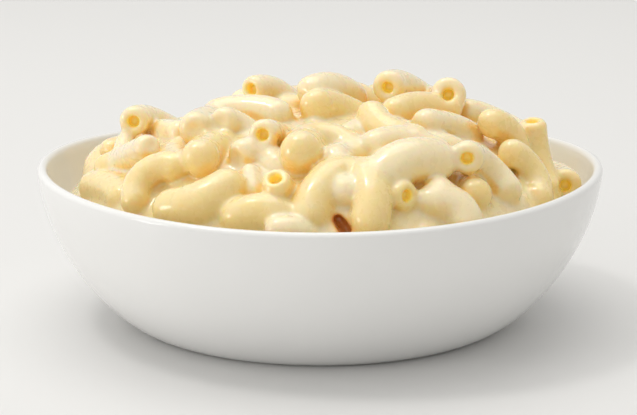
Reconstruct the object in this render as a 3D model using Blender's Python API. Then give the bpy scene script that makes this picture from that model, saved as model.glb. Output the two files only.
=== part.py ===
# Macaroni and cheese heaped in a wide white bowl.
# Lengths are in metres, +Z is up, and the origin is on the table under the bowl's centre.
# The viewer stands on the -Y side.
import math
import random

import bmesh
import bpy
import numpy as np

MM = 0.001

# Bowl: a wide flat foot, sides that curve up and out, and a rim that rises a little at the
# left and right and falls as much at the front and back.
BOWL_RADIUS = 77 * MM
RIM_HEIGHT = 42.2 * MM
RIM_SADDLE = 1.4 * MM
SADDLE_POWER = 3
RIM_THICKNESS = 2.6 * MM
FOOT_RADIUS = 50.5 * MM
FOOT_WIDTH = 5 * MM
FOOT_EDGE = 0.8 * MM
FOOT_RECESS = 1.5 * MM
FLOOR_RADIUS = 47 * MM
FLOOR_HEIGHT = 5.5 * MM
SIDE_POWER = 1.7
SIDE_ROOT = 1.35
SIDE_CROWDING = 1.7
BOWL_SEGMENTS = 64
SIDE_STEPS = 7
LIP_STEPS = 4

# Heap: a dome that leaves the bowl's wall a little below the rim.
HEAP_RADIUS = 72.5 * MM
HEAP_EDGE = 34 * MM
HEAP_RISE = 31 * MM
HEAP_POWER = 3.0
HEAP_ROOT = 0.75
HEAP_BACK_DROP = 7 * MM
CORE_DEPTH = 7.5 * MM
CORE_SEGMENTS = 36
CORE_STEPS = 6
CORE_CROWDING = 1.5
CORE_RIM_MARGIN = 0.1 * MM
BOWL_GAP = 0.3 * MM

# Elbow macaroni, measured over its coat of sauce.
NOODLE_RADIUS = 4.4 * MM
NOODLE_LENGTH = 24 * MM
SHOWN_SIDES = 8
FILL_SIDES = 6
NOODLE_CLEARANCE = 0.5 * MM
LARGEST_BEND = math.radians(175)
STEP_BEND = math.radians(30)
FEWEST_STEPS = 3
END_ROUNDING = 1.3 * MM
END_SHARE = 0.74
BORE_RADIUS = 1.6 * MM
BORE_DEPTH = 3.5 * MM
SHARP_EDGE = math.radians(50)
LINE_POINTS = 7
WALL_POINTS = 40
CLEARING_TRIES = 12
CLEARING_OVERSHOOT = 1.05

# The picture that the shown noodles are placed by, in pixels, seen from a little above.
VIEW_ELEVATION = math.radians(12.9)
VIEW_DISTANCE = 492 * MM
VIEW_HEIGHT = 29.5 * MM
VIEW_SIDE = -0.42 * MM
FOCAL_PIXELS = 1775.0
PICTURE_SIZE = (637, 415)
PICTURE_CENTRE = (318.5, 207.5)

# Noodles that rule-placed ones fill in between and behind.
SPIRAL_COUNT = 170
SPIRAL_RADIUS = 67 * MM
GOLDEN_ANGLE = math.radians(137.508)
HEADINGS = 8
FILL_HALF_CHORD = 10.5 * MM
FILL_SAG = 5 * MM
FILL_BOW = 0.4
FILL_LEAN = (-25, 75)
OPEN_SHARE = 0.5
SINK_LIMIT = 9 * MM
SKY_MARGIN_PIXELS = 3.0
SKY_REACH_PIXELS = 5
SLOPE_STEP = 1 * MM
TOP_ROOM = 6.6 * MM
TOP_LIFT = (-1.5 * MM, 1.5 * MM)
LOW_ROOM = 5.4 * MM
LOW_LIFT = (-5 * MM, -3 * MM)
FRONT_LIMIT = 14 * MM
SEED = 11

# Each shown noodle has the state of its first end, its radius in millimetres and three places
# on its centre line: that end, the bend and the other end. A place is (pixels across, pixels
# down, millimetres away from the viewer), with 0 over the bowl's centre. The bore shows in an
# OPEN end, a film of sauce lies over a FILM end, and sauce rounds off a SHUT one.
OPEN = "open"
FILM = "film"
SHUT = "shut"
SHOWN_NOODLES = {
    "left_shoulder": (OPEN, 4.0, (133, 122, -13), (146, 120, -4), (172, 131, 3)),
    "left_dimple": (FILM, 4.5, (194, 130, -30), (200, 125, -22), (214, 123, -14)),
    "left_facing": (FILM, 3.8, (152, 145, -35), (139, 153, -28), (124, 161, -17)),
    "left_knob": (SHUT, 4.8, (199, 160, -48), (203, 154, -40), (212, 147, -32)),
    "left_big_bend": (SHUT, 3.8, (184, 172, -44), (147, 173, -41), (135, 204, -46)),
    "left_lip": (SHUT, 4.5, (87, 189, -18), (104, 188, -24), (120, 196, -32)),
    "left_high": (SHUT, 3.7, (103, 155, -9), (121, 148, -4), (143, 148, 3)),
    "left_low": (SHUT, 3.7, (96, 173, -15), (114, 165, -14), (138, 160, -10)),
    "front_left_long": (SHUT, 5.1, (161, 207, -50), (200, 203, -55), (238, 180, -51)),
    "top_left_mouth": (OPEN, 3.8, (250, 90, -3), (268, 89, 3), (288, 101, 7)),
    "top_left_long": (SHUT, 4.5, (205, 121, -13), (250, 111, -13), (287, 122, -19)),
    "mid_left_slit": (FILM, 3.8, (220, 121, -28), (236, 125, -23), (256, 140, -24)),
    "mid_left_ring": (OPEN, 3.7, (262, 135, -43), (272, 134, -36), (285, 141, -30)),
    "mid_left_arch": (FILM, 3.9, (236, 157, -44), (254, 154, -41), (277, 168, -45)),
    "front_mouth": (OPEN, 3.9, (275, 177, -59), (281, 189, -56), (304, 200, -51)),
    "front_low_left": (SHUT, 4.6, (230, 227, -58), (257, 211, -60), (287, 224, -60)),
    "front_low_mid": (SHUT, 3.6, (268, 234, -65), (285, 230, -66), (303, 235, -65)),
    "front_leg_left": (SHUT, 5.0, (356, 173, -48), (320, 190, -56), (309, 226, -62)),
    "front_leg_right": (SHUT, 5.1, (352, 175, -48), (372, 189, -57), (369, 224, -63)),
    "front_mouth_low": (OPEN, 3.7, (409, 196, -59), (394, 193, -54), (381, 188, -46)),
    "middle_blob": (SHUT, 5.9, (444, 173, -44), (420, 160, -48), (389, 172, -52)),
    "middle_wedge": (SHUT, 3.4, (378, 166, -48), (388, 160, -43), (402, 158, -38)),
    "top_arch": (SHUT, 4.6, (303, 98, -8), (327, 89, -2), (350, 97, 5)),
    "top_arch_low": (SHUT, 4.8, (311, 108, -19), (328, 107, -11), (352, 116, -7)),
    "top_mouth": (OPEN, 4.6, (387, 88, -3), (401, 87, 6), (424, 100, 12)),
    "top_bend_near": (SHUT, 4.1, (370, 106, -21), (374, 118, -25), (390, 133, -31)),
    "top_bend_far": (SHUT, 4.0, (387, 116, -17), (405, 109, -12), (430, 107, -8)),
    "top_right_mouth": (OPEN, 4.9, (448, 95, -6), (446, 97, 3), (434, 106, 12)),
    "top_right_back": (SHUT, 4.0, (458, 112, 2), (483, 117, 5), (508, 128, 3)),
    "right_arch_small": (SHUT, 4.3, (420, 126, -27), (438, 125, -20), (466, 137, -14)),
    "right_end_up": (SHUT, 4.1, (484, 126, -21), (496, 124, -18), (508, 132, -16)),
    "right_tube": (OPEN, 3.9, (532, 120, -11), (534, 142, -11), (543, 177, -15)),
    "right_ring": (OPEN, 4.2, (467, 159, -48), (483, 165, -39), (512, 199, -42)),
    "right_arch": (SHUT, 4.0, (506, 153, -29), (525, 163, -25), (539, 193, -29)),
    "right_edge": (OPEN, 4.3, (565, 186, -17), (562, 181, -8), (550, 175, 2)),
    "middle_arch": (SHUT, 4.2, (293, 147, -39), (326, 138, -36), (353, 153, -41)),
    "middle_end": (SHUT, 5.2, (300, 153, -53), (304, 150, -43), (316, 147, -34)),
    "middle_small": (SHUT, 4.1, (332, 163, -50), (344, 158, -42), (357, 164, -36)),
    "middle_long": (SHUT, 4.2, (366, 151, -44), (400, 143, -38), (438, 154, -38)),
    "low_right_big": (SHUT, 4.7, (426, 213, -58), (447, 204, -56), (467, 218, -57)),
    "low_right_end": (SHUT, 4.2, (478, 197, -51), (470, 191, -42), (459, 187, -34)),
}

# Runs of sauce that hang between the noodles, with their radius and three places like a noodle's.
SAUCE_RUNS = {
    "leg_web": (4.0, (347, 180, -54), (344, 192, -57), (343, 204, -60)),
    "left_neck": (2.5, (127, 136, -10), (124, 148, -14), (122, 163, -17)),
    "left_saddle": (3.2, (160, 131, -6), (172, 131, -14), (184, 133, -20)),
    "front_left_web": (2.6, (247, 167, -46), (251, 181, -50), (252, 198, -55)),
    "right_web": (3.0, (505, 130, -14), (516, 134, -11), (529, 140, -10)),
    "blob_skirt": (3.4, (428, 186, -52), (440, 191, -53), (448, 198, -54)),
}

# Looks from the photograph, as linear colour.
GLAZE_COLOUR = (0.83, 0.82, 0.80, 1.0)
GLAZE_ROUGHNESS = 0.18
PASTA_COLOUR = (0.84, 0.65, 0.31, 1.0)
PASTA_ROUGHNESS = 0.3


def clear_scene():
    for old in list(bpy.data.objects):
        bpy.data.objects.remove(old, do_unlink=True)


def make_material(name, colour, roughness):
    material = bpy.data.materials.new(name)
    material.use_nodes = True
    shader = material.node_tree.nodes["Principled BSDF"]
    shader.inputs["Base Color"].default_value = colour
    shader.inputs["Roughness"].default_value = roughness
    shader.inputs["Metallic"].default_value = 0.0
    return material


def side_radius(z, foot_z, foot_radius, rim_radius):
    """Radius of the bowl's curved side at height z, for its outer or its inner face."""
    share = (z - foot_z) / (RIM_HEIGHT - foot_z)
    share = min(max(share, 0.0), 1.0)
    bulge = (1 - (1 - share) ** SIDE_POWER) ** (1 / SIDE_ROOT)
    return foot_radius + (rim_radius - foot_radius) * bulge


def outer_radius(z):
    return side_radius(z, 0.0, FOOT_RADIUS, BOWL_RADIUS)


def inner_radius(z):
    return side_radius(z, FLOOR_HEIGHT, FLOOR_RADIUS, BOWL_RADIUS - RIM_THICKNESS)


def side_heights(low, high, steps):
    """Heights that lie closer together near the low end, where the side curves most."""
    return [low + (high - low) * (i / steps) ** SIDE_CROWDING for i in range(steps + 1)]


def spin(profile, segments):
    """A closed solid turned from (radius, height) points that start and end on the axis."""
    mesh = bmesh.new()
    rings = []
    for radius, height in profile:
        if radius == 0:
            rings.append([mesh.verts.new((0, 0, height))])
            continue
        ring = []
        for k in range(segments):
            angle = 2 * math.pi * k / segments
            ring.append(mesh.verts.new((radius * math.cos(angle), radius * math.sin(angle), height)))
        rings.append(ring)
    for low, high in zip(rings, rings[1:]):
        for k in range(segments):
            after = (k + 1) % segments
            if len(low) == 1:
                mesh.faces.new((low[0], high[k], high[after]))
            elif len(high) == 1:
                mesh.faces.new((low[k], high[0], low[after]))
            else:
                mesh.faces.new((low[k], high[k], high[after], low[after]))
    bmesh.ops.recalc_face_normals(mesh, faces=mesh.faces)
    return mesh


def bowl_profile():
    """The bowl's wall from the middle of its underside round the rim to the middle of its floor."""
    foot_inside = FOOT_RADIUS - FOOT_WIDTH
    points = [(0, FOOT_RECESS), (foot_inside - FOOT_RECESS, FOOT_RECESS), (foot_inside, 0)]
    points += [(FOOT_RADIUS - FOOT_EDGE, 0)]
    lip = RIM_THICKNESS / 2
    top = RIM_HEIGHT - lip
    points += [(outer_radius(z), z) for z in side_heights(FOOT_EDGE / 2, top, SIDE_STEPS)]
    for i in range(1, LIP_STEPS):
        angle = math.pi * i / LIP_STEPS
        points.append((BOWL_RADIUS - lip + lip * math.cos(angle), top + lip * math.sin(angle)))
    points += [(inner_radius(z), z) for z in reversed(side_heights(FLOOR_HEIGHT, top, SIDE_STEPS))]
    points.append((0, FLOOR_HEIGHT))
    return points


def saddle_lift(x, y, z):
    """How far the saddle of the rim raises a point of the bowl."""
    angle = math.atan2(y, x)
    return RIM_SADDLE * math.cos(2 * angle) * (z / RIM_HEIGHT) ** SADDLE_POWER


def make_bowl():
    mesh = spin(bowl_profile(), BOWL_SEGMENTS)
    for vert in mesh.verts:
        vert.co.z += saddle_lift(*vert.co)
    return to_object("bowl", mesh, make_material("glazed_white", GLAZE_COLOUR, GLAZE_ROUGHNESS))


def to_object(name, mesh, material):
    data = bpy.data.meshes.new(name)
    mesh.to_mesh(data)
    mesh.free()
    data.materials.append(material)
    made = bpy.data.objects.new(name, data)
    bpy.context.scene.collection.objects.link(made)
    data.shade_smooth()
    data.set_sharp_from_angle(angle=SHARP_EDGE)
    return made


def back_drop(y):
    """How much lower the heap's far side lies than its near side."""
    return HEAP_BACK_DROP * max(y, 0) / HEAP_RADIUS


def heap_height(x, y):
    """Height of the heap's uneven top, taken over the crowns of its noodles."""
    share = min(math.hypot(x, y) / HEAP_RADIUS, 1.0)
    return HEAP_EDGE + HEAP_RISE * (1 - share ** HEAP_POWER) ** HEAP_ROOT - back_drop(y)


def core_profile():
    """The core fills the bowl and rises under the noodles."""
    wall_top = HEAP_EDGE - CORE_DEPTH
    points = [(0, FLOOR_HEIGHT + BOWL_GAP)]
    heights = side_heights(FLOOR_HEIGHT, wall_top, CORE_STEPS)
    points += [(inner_radius(z) - BOWL_GAP, z + BOWL_GAP) for z in heights]
    edge = inner_radius(wall_top)
    for i in range(1, CORE_STEPS):
        radius = edge * (1 - (i / CORE_STEPS) ** CORE_CROWDING)
        points.append((radius, heap_height(radius, 0) - CORE_DEPTH))
    points.append((0, heap_height(0, 0) - CORE_DEPTH))
    return points


def view_axes():
    """The eye of the picture, the way it looks and the picture's up direction."""
    lean = np.array([0.0, math.cos(VIEW_ELEVATION), -math.sin(VIEW_ELEVATION)])
    up = np.array([0.0, math.sin(VIEW_ELEVATION), math.cos(VIEW_ELEVATION)])
    eye = np.array([VIEW_SIDE, 0.0, VIEW_HEIGHT]) - VIEW_DISTANCE * lean
    return eye, lean, up


def picture_point(across, down, away):
    """The point seen at a picture's pixel, at a distance beyond the bowl's centre in millimetres."""
    eye, lean, up = view_axes()
    ray = lean + (across - PICTURE_CENTRE[0]) / FOCAL_PIXELS * np.array([1.0, 0.0, 0.0])
    ray = ray - (down - PICTURE_CENTRE[1]) / FOCAL_PIXELS * up
    return eye + ray * (away * MM - eye[1]) / ray[1]


class Arc:
    """A round tube's centre line: an arc through three points, lengthened at its last end."""

    def __init__(self, start, middle, end, tube_radius, shortest):
        self.tube_radius = tube_radius
        a = start - end
        b = middle - end
        normal = np.cross(a, b)
        offset = np.cross((a @ a) * b - (b @ b) * a, normal) / (2 * (normal @ normal))
        self.centre = end + offset
        self.radius = np.linalg.norm(start - self.centre)
        self.across = (start - self.centre) / self.radius
        self.normal = normal / np.linalg.norm(normal)
        self.along = np.cross(self.normal, self.across)
        if self.angle_of(middle) > self.angle_of(end):
            self.normal = -self.normal
            self.along = -self.along
        bend = max(self.angle_of(end), shortest / self.radius)
        self.bend = min(bend, max(LARGEST_BEND, self.angle_of(end)))

    def angle_of(self, point):
        spoke = point - self.centre
        return math.atan2(spoke @ self.along, spoke @ self.across) % (2 * math.pi)

    def spoke(self, share):
        angle = self.bend * share
        return math.cos(angle) * self.across + math.sin(angle) * self.along

    def point(self, share):
        return self.centre + self.radius * self.spoke(share)

    def line(self, count):
        return [self.point(i / (count - 1)) for i in range(count)]

    def move(self, shift):
        self.centre = self.centre + shift

    @property
    def length(self):
        return self.radius * self.bend


def wall_distance(point):
    """Distance from a point inside the bowl to its wall or rim, and below zero outside it."""
    rho = math.hypot(point[0], point[1])
    lip = RIM_THICKNESS / 2
    top = RIM_HEIGHT - RIM_SADDLE - lip
    nearest = math.hypot(rho - (BOWL_RADIUS - lip), point[2] - RIM_HEIGHT) - lip - RIM_SADDLE
    for z in np.linspace(FLOOR_HEIGHT, top, WALL_POINTS):
        nearest = min(nearest, math.hypot(rho - inner_radius(z), point[2] - z))
    if point[2] < top and rho > inner_radius(point[2]):
        return -nearest
    return nearest


def clear_of_bowl(arc):
    """Moves a noodle in towards the middle until it is clear of the bowl."""
    for _ in range(CLEARING_TRIES):
        line = arc.line(LINE_POINTS)
        need = arc.tube_radius + NOODLE_CLEARANCE - min(wall_distance(p) for p in line)
        if need <= 0:
            return
        middle = sum(line) / len(line)
        inward = -np.array([middle[0], middle[1], 0.0])
        arc.move(inward / np.linalg.norm(inward) * need * CLEARING_OVERSHOOT)


def placed_arc(radius, start, bend, end, shortest):
    """A tube along three places of the picture, moved clear of the bowl."""
    places = [picture_point(*place) for place in (start, bend, end)]
    arc = Arc(*places, radius * MM, shortest)
    clear_of_bowl(arc)
    return arc


def shown_arcs():
    noodles = [(placed_arc(*places, NOODLE_LENGTH), state) for state, *places in SHOWN_NOODLES.values()]
    runs = [(placed_arc(*places, 0.0), SHUT) for places in SAUCE_RUNS.values()]
    return noodles + runs


def picture_place(point):
    """Where a point is seen: pixels across, pixels down, and pixels to a unit of length there."""
    eye, lean, up = view_axes()
    offset = point - eye
    scale = FOCAL_PIXELS / (offset @ lean)
    return PICTURE_CENTRE[0] + offset[0] * scale, PICTURE_CENTRE[1] - (offset @ up) * scale, scale


def crowns(arc):
    """For points along a noodle: the picture's columns it fills, its upper edge there, and the scale."""
    columns = np.arange(PICTURE_SIZE[0])
    for point in arc.line(LINE_POINTS):
        across, down, scale = picture_place(point)
        reach = arc.tube_radius * scale
        near = columns[np.abs(columns - across) < reach]
        yield near, down - np.sqrt(reach ** 2 - (near - across) ** 2), scale


def skyline(arcs):
    """The highest place that the shown noodles reach in or beside each column of the picture."""
    line = np.full(PICTURE_SIZE[0], float(PICTURE_SIZE[1]))
    for arc in arcs:
        for near, edge, _ in crowns(arc):
            line[near] = np.minimum(line[near], edge)
    return np.min([np.roll(line, shift) for shift in range(-SKY_REACH_PIXELS, SKY_REACH_PIXELS + 1)], axis=0)


def hide_behind(arc, sky):
    """Lowers a noodle until it stays under the skyline, or tells that it would sink too far."""
    sink = 0.0
    for near, edge, scale in crowns(arc):
        above = (sky[near] + SKY_MARGIN_PIXELS - edge) / scale
        sink = max(sink, above.max(initial=0.0))
    arc.move(np.array([0.0, 0.0, -sink]))
    clear_of_bowl(arc)
    return sink < SINK_LIMIT


def heap_frame(x, y):
    """A point on the middle of the top layer of noodles, and the heap's slope directions there."""
    top = heap_height(x, y)
    base = np.array([x, y, top - NOODLE_RADIUS])
    east = np.array([SLOPE_STEP, 0.0, heap_height(x + SLOPE_STEP, y) - top])
    north = np.array([0.0, SLOPE_STEP, heap_height(x, y + SLOPE_STEP) - top])
    upward = np.cross(east, north)
    upward = upward / np.linalg.norm(upward)
    east = east / np.linalg.norm(east)
    return base, east, np.cross(upward, east), upward


def fill_arc(x, y, heading, lean, lift):
    """A noodle that lies on the heap at (x, y), turned by its heading and leaning by its lean."""
    base, east, north, upward = heap_frame(x, y)
    along = math.cos(heading) * east + math.sin(heading) * north
    side = np.cross(upward, along)
    bow = math.cos(lean) * side + math.sin(lean) * upward
    middle = base + lift * upward + FILL_BOW * FILL_SAG * bow
    ends = [middle + s * FILL_HALF_CHORD * along - FILL_SAG * bow for s in (-1, 1)]
    arc = Arc(ends[0], middle, ends[1], NOODLE_RADIUS, NOODLE_LENGTH)
    clear_of_bowl(arc)
    return arc


def spacing(arc, others):
    """Smallest distance between the arc's centre line and the lines already placed."""
    mine = np.array(arc.line(LINE_POINTS))
    gaps = mine[:, None, :] - others[None, :, :]
    return np.sqrt((gaps ** 2).sum(axis=2)).min()


def fill_layer(draw, lines, sky, lift_range, room, nearest_y):
    """Noodles over the heap, each in the heading that leaves it the most room."""
    filled = []
    for i in range(SPIRAL_COUNT):
        reach = SPIRAL_RADIUS * math.sqrt((i + 0.5) / SPIRAL_COUNT)
        x = reach * math.cos(i * GOLDEN_ANGLE)
        y = reach * math.sin(i * GOLDEN_ANGLE)
        lift = draw.uniform(*lift_range)
        start = draw.uniform(0, math.pi)
        lean = math.radians(draw.uniform(*FILL_LEAN))
        state = OPEN if draw.random() < OPEN_SHARE else SHUT
        if y < nearest_y:
            continue
        trials = [fill_arc(x, y, start + math.tau * k / HEADINGS, lean, lift) for k in range(HEADINGS)]
        best = max(trials, key=lambda arc: spacing(arc, lines))
        if spacing(best, lines) < room or not hide_behind(best, sky):
            continue
        lines = np.vstack([lines, best.line(LINE_POINTS)])
        filled.append((best, state))
    return filled, lines


def all_arcs():
    """The shown noodles, a top layer behind them and a lower layer that closes the gaps."""
    draw = random.Random(SEED)
    shown = shown_arcs()
    sky = skyline(arc for arc, _ in shown)
    lines = np.array([p for arc, _ in shown for p in arc.line(LINE_POINTS)])
    top, lines = fill_layer(draw, lines, sky, TOP_LIFT, TOP_ROOM, FRONT_LIMIT)
    low, lines = fill_layer(draw, lines, sky, LOW_LIFT, LOW_ROOM, -BOWL_RADIUS)
    return shown, top + low


def add_ring(mesh, arc, distance, radius, sides):
    share = distance / arc.length
    centre = arc.point(share)
    spoke = arc.spoke(share)
    ring = []
    for k in range(sides):
        angle = 2 * math.pi * k / sides
        outward = math.cos(angle) * spoke + math.sin(angle) * arc.normal
        ring.append(mesh.verts.new(centre + radius * outward))
    return ring


def noodle_mesh(arc, state, sides):
    """A round bent tube with softened ends, and a short bore where its first end is open."""
    mesh = bmesh.new()
    steps = max(FEWEST_STEPS, math.ceil(arc.bend / STEP_BEND))
    body = arc.length - 2 * END_ROUNDING
    end_radius = END_SHARE * arc.tube_radius
    stations = [(0.0, end_radius)]
    stations += [(END_ROUNDING + body * i / steps, arc.tube_radius) for i in range(steps + 1)]
    stations.append((arc.length, end_radius))
    if state == OPEN:
        stations = [(BORE_DEPTH, BORE_RADIUS), (0.0, BORE_RADIUS)] + stations
    rings = [add_ring(mesh, arc, distance, radius, sides) for distance, radius in stations]
    for near, far in zip(rings, rings[1:]):
        for k in range(sides):
            after = (k + 1) % sides
            mesh.faces.new((near[k], far[k], far[after], near[after]))
    mesh.faces.new(rings[0])
    mesh.faces.new(rings[-1])
    bmesh.ops.recalc_face_normals(mesh, faces=mesh.faces)
    return mesh


def largest_shell(mesh):
    """Drops loose scraps and sealed hollows, which leaves one closed skin."""
    left = set(mesh.verts)
    shells = []
    while left:
        shell = {left.pop()}
        edge = set(shell)
        while edge:
            grown = {e.other_vert(v) for v in edge for e in v.link_edges}
            edge = grown - shell
            shell |= edge
        left -= shell
        shells.append(shell)
    keep = max(shells, key=len)
    bmesh.ops.delete(mesh, geom=[v for v in mesh.verts if v not in keep], context="VERTS")


def make_heap():
    material = make_material("sauced_pasta", PASTA_COLOUR, PASTA_ROUGHNESS)
    core = spin(core_profile(), CORE_SEGMENTS)
    wall_top = HEAP_EDGE - CORE_DEPTH + BOWL_GAP
    for vert in core.verts:
        if vert.co.z > wall_top + CORE_RIM_MARGIN:
            vert.co.z -= back_drop(vert.co.y)
    heap = to_object("macaroni_heap", core, material)
    pieces = bpy.data.collections.new("noodles")
    bpy.context.scene.collection.children.link(pieces)
    shown, filled = all_arcs()
    for arc, state, sides in [(*n, SHOWN_SIDES) for n in shown] + [(*n, FILL_SIDES) for n in filled]:
        data = bpy.data.meshes.new("noodle")
        mesh = noodle_mesh(arc, state, sides)
        mesh.to_mesh(data)
        mesh.free()
        pieces.objects.link(bpy.data.objects.new("noodle", data))
    join = heap.modifiers.new("join", "BOOLEAN")
    join.operation = "UNION"
    join.operand_type = "COLLECTION"
    join.collection = pieces
    join.solver = "EXACT"
    evaluated = heap.evaluated_get(bpy.context.evaluated_depsgraph_get())
    joined = bpy.data.meshes.new_from_object(evaluated)
    heap.modifiers.remove(join)
    for piece in list(pieces.objects):
        bpy.data.objects.remove(piece, do_unlink=True)
    bpy.data.collections.remove(pieces)
    mesh = bmesh.new()
    mesh.from_mesh(joined)
    largest_shell(mesh)
    bmesh.ops.triangulate(mesh, faces=mesh.faces)
    mesh.to_mesh(heap.data)
    mesh.free()
    heap.data.shade_smooth()
    heap.data.set_sharp_from_angle(angle=SHARP_EDGE)
    return heap


def main():
    clear_scene()
    make_bowl()
    make_heap()


main()
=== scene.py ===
# Looks of the macaroni and cheese in its white bowl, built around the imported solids.
# Lengths are in metres and +Z is up, but the bowl and the heap are worked out in millimetres.
import math
import random

import bmesh
import bpy
import numpy as np
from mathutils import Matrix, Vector


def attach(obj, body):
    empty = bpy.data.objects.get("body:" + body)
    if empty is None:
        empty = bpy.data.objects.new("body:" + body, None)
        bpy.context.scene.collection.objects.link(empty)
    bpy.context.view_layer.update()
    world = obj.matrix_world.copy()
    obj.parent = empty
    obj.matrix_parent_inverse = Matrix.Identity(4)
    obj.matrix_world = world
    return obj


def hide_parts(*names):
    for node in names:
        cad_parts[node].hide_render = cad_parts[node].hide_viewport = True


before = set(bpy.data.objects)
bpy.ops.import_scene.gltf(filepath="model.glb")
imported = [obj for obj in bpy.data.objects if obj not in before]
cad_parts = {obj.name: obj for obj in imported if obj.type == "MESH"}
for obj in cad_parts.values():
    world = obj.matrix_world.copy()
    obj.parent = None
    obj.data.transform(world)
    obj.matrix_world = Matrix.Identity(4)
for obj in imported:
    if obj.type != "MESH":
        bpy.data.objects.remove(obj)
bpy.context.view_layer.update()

MM = 0.001

# The picture's view: 637 by 415 pixels, from a little above.
VIEW_ELEVATION = math.radians(12.9)
VIEW_DISTANCE = 492.0
VIEW_HEIGHT = 29.5
VIEW_SIDE = -0.42
FOCAL_PIXELS = 1775.0
PICTURE_SIZE = (637, 415)
PICTURE_CENTRE = (318.5, 207.5)
SENSOR_WIDTH = 36.0
CLIP_START = 0.01

# Bowl, in millimetres, as in the solids.
BOWL_RADIUS = 77.0
RIM_HEIGHT = 42.2
RIM_SADDLE = 1.4
SADDLE_POWER = 3
RIM_THICKNESS = 2.6
FOOT_RADIUS = 50.5
FOOT_WIDTH = 5.0
FOOT_EDGE = 0.8
FOOT_RECESS = 1.5
FLOOR_RADIUS = 47.0
FLOOR_HEIGHT = 5.5
SIDE_POWER = 1.7
SIDE_ROOT = 1.35
SIDE_CROWDING = 1.7
BOWL_SEGMENTS = 240
SIDE_STEPS = 34
LIP_STEPS = 12
SHARP_ANGLE = math.radians(40)

# Heap, in millimetres, as in the solids.
HEAP_RADIUS = 72.5
HEAP_EDGE = 34.0
HEAP_RISE = 31.0
HEAP_POWER = 3.0
HEAP_ROOT = 0.75
HEAP_BACK_DROP = 7.0
CORE_DEPTH = 7.5
BOWL_GAP = 0.3
SLOPE_STEP = 1.0
NOODLE_RADIUS = 4.4
NOODLE_LENGTH = 24.0
NOODLE_CLEARANCE = 0.5
LARGEST_BEND = math.radians(175)
LINE_POINTS = 7
WALL_POINTS = 40
CLEARING_TRIES = 12
CLEARING_OVERSHOOT = 1.05

# Noodles placed by rule, as in the solids.
SPIRAL_COUNT = 170
SPIRAL_RADIUS = 67.0
GOLDEN_ANGLE = math.radians(137.508)
HEADINGS = 8
FILL_HALF_CHORD = 10.5
FILL_SAG = 5.0
FILL_BOW = 0.4
FILL_LEAN = (-25, 75)
OPEN_SHARE = 0.5
SINK_LIMIT = 9.0
SKY_MARGIN = 3.0
SKY_REACH = 5
TOP_ROOM = 6.6
TOP_LIFT = (-1.5, 1.5)
LOW_ROOM = 5.4
LOW_LIFT = (-5.0, -3.0)
FRONT_LIMIT = 14.0
SEED = 11

# A third, deeper layer of noodles that closes pits in the skin.
DEEP_ROOM = 4.6
DEEP_LIFT = (-7.0, -5.0)

# The fine skin of the heap, in millimetres.
VOXEL = 0.75
SKIN_LOW = 24.0
SKIN_HIGH = 71.0
SKIN_MARGIN = 2.0
FAR_OUTSIDE = 1000.0
DOME_SLOPE = 0.7
WALL_SLOPE = 0.8
RADIUS_SHARES = (0.97, 1.02)
TUBE_MARGIN = 2.0
HOLE_MARGIN = 4.0
OPEN_ROUNDING = 1.7
FILM_ROUNDING = 2.9
SHUT_ROUNDING = 0.85
SAUCE_BLEND = 2.1
BORE_RADIUS = 1.5
BORE_DEPTH = 3.0
BORE_SOFTNESS = 1.4
FILM_RADIUS = 1.9
FILM_DEPTH = 0.6
FILM_SPHERE = (FILM_RADIUS ** 2 + FILM_DEPTH ** 2) / (2 * FILM_DEPTH)

# Gentle unevenness of the skin: a sum of waves, in radians to a millimetre before the stretch.
WAVE_COUNT = 6
WAVE_PACE = (0.45, 1.0)
WAVE_SHARE = 3
WAVE_STRETCH = 0.45
UNEVENNESS = 0.22

# Evening out of the skin's net.
EVENING_ROUNDS = 2
RELAX_ROUNDS = 2
SMALLEST_SLOPE = 0.2
TINY = 1e-6

# Values kept at the skin's points for its colours: reaches and fades in millimetres.
OPENNESS_REACH = (1.5, 3.5, 7.0)
TINT_REACH = 0.8
TINT_START = 0.02
TINT_START_WEIGHT = 0.05
BORE_FADE = 0.25
MOUTH_FADE = 0.3
GAP_SHADE_FADE = 0.5
# Direction towards the light, up and leaning left: skin turned away from it gets painted shade.
LIGHT_SIDE = (-0.35, 0.0, 0.94)

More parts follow.
